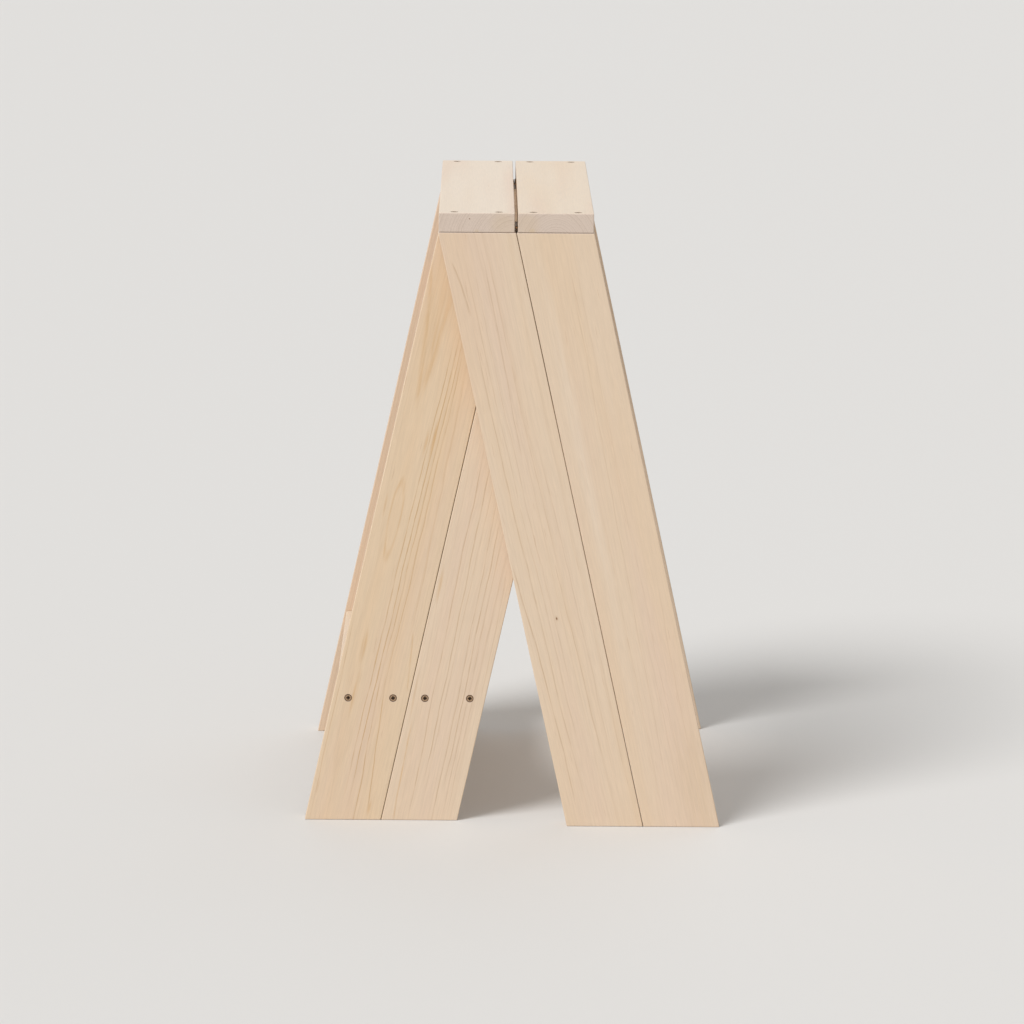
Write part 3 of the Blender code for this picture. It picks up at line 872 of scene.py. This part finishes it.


# Boards that show, with their marks listed one by one. Places are across a board from its middle
# line and along it from its foot or front end.
SHOWN_GRAIN = {
    "seat_board_left": Grain(
        (0.045, 0.025), (0.004, 0.002), 2.8 * MM, 1.3, contrast=0.09,
        early=(0.765, 0.655, 0.535), warm=0.10,
        spots=[Spot((-0.0085, -0.0047, 0.0), 1.2 * MM, 0.8, KNOT_HEART),
               Spot((0.0, 0.0107, 0.0), 4 * MM, 0.35, OCHRE),
               Spot((0.032, 0.002, 0.0), 22 * MM, 0.25, OCHRE)]),
    "seat_board_right": Grain(
        (0.0, 0.021), (0.004, 0.002), 2.7 * MM, 2.6, contrast=0.10,
        early=(0.750, 0.625, 0.490), warm=0.20,
        spots=[Spot((-0.0279, 0.0102, 0.0), 5 * MM, 0.40, OCHRE),
               Spot((-0.034, 0.002, 0.0), 20 * MM, 0.25, OCHRE)]),
    "outer_leg_front_left": Grain(
        (0.060, 0.030), (-0.016, 0.004), 4.6 * MM, 3.1, contrast=0.15,
        lines=[Line(0.010, 0.654, (-0.0150, -0.0255, -0.0280), 0.44, 1.8 * MM),
               Line(0.640, 0.715, (-0.0285, -0.0315, -0.0385), 0.47, 2.5 * MM),
               Line(0.020, 0.360, (-0.0285, -0.0325, -0.0440), 0.56, 1.8 * MM),
               Line(0.060, 0.735, (-0.0075, -0.0175, -0.0215), 0.30),
               Line(0.150, 0.730, (-0.0040, -0.0110, -0.0125), 0.26),
               Line(0.440, 0.720, (-0.0050, -0.0010, 0.0015), 0.44),
               Line(0.330, 0.720, (0.0100, 0.0075, 0.0070), 0.35),
               Line(0.060, 0.480, (0.0255, 0.0225, 0.0170), 0.30),
               Line(0.070, 0.330, (0.0155, 0.0115, 0.0080), 0.40),
               Line(0.060, 0.240, (0.0370, 0.0370, 0.0365), 0.23)],
        knots=[Knot(-0.004, 0.264, 1.0 * MM)]),
    "outer_leg_front_right": Grain(
        (0.085, 0.034), (0.020, 0.002), 4.6 * MM, 4.7, contrast=0.07, warm=0.30,
        lines=[Line(0.000, 0.730, (-0.0080, 0.0000, 0.0088), 0.24),
               Line(0.010, 0.420, (-0.0180, -0.0165, -0.0130), 0.16, 2.4 * MM),
               Line(0.030, 0.260, (0.0055, 0.0062, 0.0070), 0.20),
               Line(0.020, 0.730, (0.0150, 0.0135, 0.0165), 0.16),
               Line(0.060, 0.300, (0.0270, 0.0300, 0.0310), 0.20)],
        streaks=[Streak(-0.024, 0.480, 0.022, 0.700, 0.55, PALE),
                 Streak(0.028, 0.040, 0.070, 0.260, 0.30, OCHRE),
                 Streak(0.008, 0.660, 0.002, 0.070, 0.35, DASH_BROWN)]),
    "inner_leg_front_left": Grain(
        (-0.020, 0.038), (0.002, -0.004), 4.2 * MM, 5.2, contrast=0.14,
        early=(0.728, 0.560, 0.388), warm=0.50,
        lines=[Line(0.005, 0.640, (-0.0048, -0.0028, 0.0032), 0.74, 1.5 * MM, RESIN_BROWN),
               Line(0.005, 0.640, (0.0022, 0.0038, 0.0085), 0.85, 1.5 * MM, RESIN_BROWN),
               Line(0.160, 0.640, (0.0070, 0.0100, 0.0125), 0.66, 1.5 * MM, RESIN_BROWN),
               Line(-0.020, 0.190, (0.0120, 0.0105, 0.0065), 0.70, 1.5 * MM, RESIN_BROWN),
               Line(0.150, 0.620, (0.0130, 0.0160, 0.0150), 0.59, 1.5 * MM, RESIN_BROWN),
               Line(0.010, 0.190, (0.0260, 0.0205, 0.0128), 0.70, 1.5 * MM, RESIN_BROWN),
               Line(0.220, 0.600, (0.0300, 0.0280, 0.0225), 0.30, 3.0 * MM, RESIN_BROWN),
               Line(0.170, 0.250, (0.0420, 0.0370, 0.0315), 0.51, 2.4 * MM, AMBER),
               Line(-0.020, 0.260, (-0.0390, -0.0400, -0.0415), 0.54, 1.2 * MM, RESIN_BROWN),
               Line(0.505, 0.700, (-0.0230, -0.0315, -0.0450), 0.52, 6.0 * MM, AMBER),
               Line(0.520, 0.700, (-0.0215, -0.0150, -0.0050), 0.38, 6.0 * MM, AMBER)],
        streaks=[Streak(0.0045, 0.480, 0.007, 0.070, 0.85),
                 Streak(-0.0040, 0.478, 0.005, 0.046, 0.75),
                 Streak(-0.020, 0.377, 0.0160, 0.110, 0.48, AMBER, True),
                 Streak(-0.0345, 0.392, 0.005, 0.040, 0.40),
                 Streak(-0.0225, 0.216, 0.008, 0.062, 0.75),
                 Streak(-0.0200, 0.160, 0.007, 0.085, 0.70),
                 Streak(-0.0050, 0.206, 0.003, 0.040, 0.50),
                 Streak(0.027, 0.022, 0.006, 0.026, 0.55),
                 Streak(-0.024, 0.640, 0.040, 0.180, 0.36),
                 Streak(-0.022, 0.580, 0.022, 0.110, 0.42)]),
    "inner_leg_front_right": Grain(
        (-0.060, 0.038), (-0.01, 0.006), 3.3 * MM, 6.4, contrast=0.15,
        lines=[Line(-0.030, 0.500, (-0.0120, -0.0190, -0.0245), 0.59),
               Line(0.030, 0.480, (-0.0045, -0.0078, -0.0145), 0.62),
               Line(0.000, 0.450, (-0.0005, -0.0022, -0.0045), 0.33),
               Line(-0.030, 0.430, (0.0148, 0.0112, 0.0035), 0.56),
               Line(0.030, 0.400, (0.0210, 0.0175, 0.0125), 0.62),
               Line(0.000, 0.380, (0.0270, 0.0238, 0.0195), 0.48),
               Line(0.000, 0.350, (0.0320, 0.0305, 0.0300), 0.33),
               Line(0.150, 0.340, (0.0395, 0.0385, 0.0345), 0.31),
               Line(-0.020, 0.125, (-0.0290, -0.0335, -0.0365), 0.70, 2.2 * MM, AMBER)],
        streaks=[Streak(-0.0405, 0.290, 0.006, 0.060, 0.50),
                 Streak(-0.0400, 0.150, 0.004, 0.090, 0.35)]),
    "inner_leg_back_left": Grain((0.010, 0.050), (0.01, -0.01), 3.0 * MM, 7.7, contrast=0.30,
                                 early=(0.715, 0.540, 0.395)),
    "outer_leg_back_right": Grain((0.020, 0.060), (0.01, -0.01), 3.0 * MM, 8.9, contrast=0.30),
    "shelf_board_left": Grain((0.004, 0.055), (0.01, 0.012), 3.1 * MM, 9.3, contrast=0.20,
                              early=(0.760, 0.620, 0.470)),
    "shelf_board_right": Grain((-0.020, 0.045), (0.00, 0.012), 3.1 * MM, 10.1, contrast=0.25,
                               early=(0.755, 0.615, 0.465)),
}


def grain_of(node, chance):
    """Return a board's grain, chosen for the boards that show and by chance for the others."""
    pith = (chance.uniform(-0.05, 0.05), chance.choice((-1, 1)) * chance.uniform(0.04, 0.09))
    drift = (chance.uniform(-0.02, 0.02), chance.uniform(-0.03, 0.03))
    other = Grain(pith, drift, chance.uniform(2.6, 4.2) * MM, chance.uniform(12, 40),
                  contrast=chance.uniform(0.20, 0.36), warm=chance.uniform(0.2, 0.5))
    return SHOWN_GRAIN.get(node, other)


def leg_axes(lean):
    """Return the directions along and across a leg whose top leans towards +X by an angle."""
    along = Vector((math.sin(lean), 0, math.cos(lean)))
    across = Vector((math.cos(lean), 0, -math.sin(lean)))
    return along, across


def add_boards():
    """Replace every board of the seat, the legs, the shelf and the battens."""
    outer_along, outer_across = leg_axes(-LEG_LEAN)
    inner_along, inner_across = leg_axes(LEG_LEAN)
    boards = []
    for side in SIDES:
        boards.append((f"seat_board_{side}", Y, X))
        boards.append((f"shelf_board_{side}", Y, X))
        for end in ENDS:
            boards.append((f"outer_leg_{end}_{side}", outer_along, outer_across))
            boards.append((f"inner_leg_{end}_{side}", inner_along, inner_across))
    for end in ENDS:
        boards.append((f"seat_batten_{end}", X, Y))
        boards.append((f"leg_batten_{end}", inner_across, inner_along))
    boards.append(("shelf_batten", X, Y))
    chance = random.Random(GRAIN_SEED)
    for node, along, across in boards:
        board = Board(node, along, across)
        add_board(board, softwood(board, grain_of(node, chance)))


# ------------------------------------------------------------------ metals

BRONZE_DARK = (0.16, 0.095, 0.055, 1)
BRONZE = (0.24, 0.155, 0.095, 1)
# A paler painted highlight ring around a screw's recess
BRONZE_HIGHLIGHT = (0.56, 0.385, 0.245, 1)
# Painted shade at the rim of a screw's head
BRONZE_RIM_SHADE = (0.085, 0.045, 0.026, 1)
# Painted shade deep in a screw's cross recess
BRONZE_RECESS_SHADE = (0.022, 0.010, 0.006, 1)
ZINC = (0.66, 0.67, 0.68, 1)
ZINC_BLOOM = (0.50, 0.515, 0.545, 1)

# Cells for each metre of the metals' noises, and their surfaces
BRONZE_CELLS = 1800
BRONZE_METAL = 0.7
BRONZE_ROUGHNESS = (0.34, 0.52)
BRONZE_RELIEF = 0.3
BRONZE_DEPTH = 0.03 * MM
ZINC_CELLS = 420
SCRATCH_CELLS = 9000
ZINC_METAL = 1.0
ZINC_ROUGHNESS = (0.22, 0.40)
SCRATCH_ROUGHNESS = 0.08
ZINC_RELIEF = 0.35
ZINC_DEPTH = 0.02 * MM

# Where a screw's painted highlight ring and its painted shade at the rim set in, from its middle,
# and between which depths the painted shade in its recess deepens
HIGHLIGHT_START, HIGHLIGHT_END = 1.9 * MM, 2.6 * MM
RIM_SHADE_START, RIM_SHADE_END = 3.35 * MM, 3.9 * MM
RECESS_SHADE_START, RECESS_SHADE_END = -0.05 * MM, -0.9 * MM


def bronzed_steel():
    """Return dark bronze coating, with a paler painted highlight ring around the recess and painted
    shade at the rim and in the recess.
    """
    material, graph, shader = new_material("bronzed_steel")
    place = graph.add("ShaderNodeTexCoord").outputs["Object"]
    x, y, z = graph.split(place)
    reach = graph.length(x, y)
    patch = graph.noise(graph.scaled(place, (BRONZE_CELLS,) * 3), detail=3.0)
    # Painted shade at the head's rim
    rim_shade = graph.smooth(reach, RIM_SHADE_START, RIM_SHADE_END)
    # A paler painted highlight ring around the recess, in patches
    wear_and_highlight = graph.product(graph.smooth(reach, HIGHLIGHT_START, HIGHLIGHT_END),
                         graph.smooth(patch, 0.2, 0.5))
    # Painted shade in the recess, darkest deep down
    recess_shade = graph.smooth(z, RECESS_SHADE_END, RECESS_SHADE_START, 1.0, 0.0)
    colour = graph.mix(graph.smooth(patch, 0.3, 0.75), BRONZE_DARK, BRONZE)
    for share, mask, tone in ((0.8, wear_and_highlight, BRONZE_HIGHLIGHT), (0.85, rim_shade, BRONZE_RIM_SHADE),
                              (0.9, recess_shade, BRONZE_RECESS_SHADE)):
        colour = graph.mix(graph.product(mask, share), colour, tone)
    rough = graph.smooth(patch, 0.2, 0.8, *BRONZE_ROUGHNESS)
    coat(graph, shader, colour, rough, patch, BRONZE_RELIEF, BRONZE_DEPTH)
    shader.inputs["Metallic"].default_value = BRONZE_METAL
    return material


def zinc_plate():
    """Return bright zinc plating with a faint cloudy bloom and turned scratches."""
    material, graph, shader = new_material("zinc_plate")
    place = graph.add("ShaderNodeTexCoord").outputs["Object"]
    x, y, _ = graph.split(place)
    cloud = graph.noise(graph.scaled(place, (ZINC_CELLS,) * 3), detail=4.0)
    scratches = graph.noise_along(graph.product(graph.length(x, y), SCRATCH_CELLS), 2.0)
    colour = graph.mix(graph.smooth(cloud, 0.3, 0.75), ZINC, ZINC_BLOOM)
    rough = graph.total(graph.smooth(cloud, 0.25, 0.75, *ZINC_ROUGHNESS),
                        graph.product(scratches, SCRATCH_ROUGHNESS))
    coat(graph, shader, colour, rough, scratches, ZINC_RELIEF, ZINC_DEPTH)
    shader.inputs["Metallic"].default_value = ZINC_METAL
    return material


# ------------------------------------------------------------------ studio

FLOOR_REACH = 40.0
FLOOR_TONE = (0.67, 0.66, 0.645, 1)
FLOOR_ROUGHNESS = 0.75
WORLD_TONE = (1.0, 0.99, 0.975, 1)
WORLD_STRENGTH = 0.50

# Camera, fitted together with the sawhorse's sizes. Its height is above the ground and its
# distance is from the sawhorse's middle.
CAMERA_LENS = 170.0
CAMERA_SENSOR = 36.0
CAMERA_SIDE = -0.0393
CAMERA_DISTANCE = 5.9453
CAMERA_HEIGHT = 1.4705
CAMERA_PITCH = 0.1886
CAMERA_YAW = -0.0065
CAMERA_ROLL = 0.0082


def add_camera():
    """Place the camera: in front of the sawhorse, looking slightly down with a long lens."""
    data = bpy.data.cameras.new("camera")
    data.lens = CAMERA_LENS
    data.sensor_width = CAMERA_SENSOR
    camera = add_object("camera", data)
    look = (Matrix.Rotation(CAMERA_YAW, 4, "Z") @ Matrix.Rotation(math.pi / 2 - CAMERA_PITCH, 4, "X")
            @ Matrix.Rotation(CAMERA_ROLL, 4, "Z"))
    place = Matrix.Translation((CAMERA_SIDE, -CAMERA_DISTANCE, CAMERA_HEIGHT))
    camera.matrix_world = place @ look
    bpy.context.scene.camera = camera


def add_floor():
    """Lay a plain pale floor."""
    shape = bmesh.new()
    bmesh.ops.create_grid(shape, x_segments=1, y_segments=1, size=FLOOR_REACH)
    floor = add_object("floor", to_mesh(shape, "floor"))
    material, _, shader = new_material("floor_paint")
    shader.inputs["Base Color"].default_value = FLOOR_TONE
    shader.inputs["Roughness"].default_value = FLOOR_ROUGHNESS
    floor.data.materials.append(material)


def add_sky_light(name, azimuth, height, spread, strength):
    """Add a far soft light. Its azimuth is where it stands, from -Y towards +X.

    Its height and its spread are angles. All three are in degrees.
    """
    data = bpy.data.lights.new(name, "SUN")
    data.energy = strength
    data.angle = math.radians(spread)
    light = add_object(name, data)
    turn, rise = math.radians(azimuth), math.radians(height)
    away = Vector((math.sin(turn) * math.cos(rise), -math.cos(turn) * math.cos(rise),
                   math.sin(rise)))
    light.matrix_world = (-away).to_track_quat("-Z", "Y").to_matrix().to_4x4()


def add_lights():
    """Light the sawhorse softly: a bright room, a key from the left and a light from behind."""
    world = bpy.data.worlds.new("studio")
    world.use_nodes = True
    background = world.node_tree.nodes["Background"]
    background.inputs["Color"].default_value = WORLD_TONE
    background.inputs["Strength"].default_value = WORLD_STRENGTH
    bpy.context.scene.world = world
    add_sky_light("key", azimuth=-46, height=48, spread=24, strength=2.40)
    add_sky_light("back", azimuth=160, height=38, spread=60, strength=0.30)


bpy.context.scene.view_settings.view_transform = "Standard"
add_camera()
add_floor()
add_lights()
add_boards()
add_screws(bronzed_steel())
add_pivots(zinc_plate())
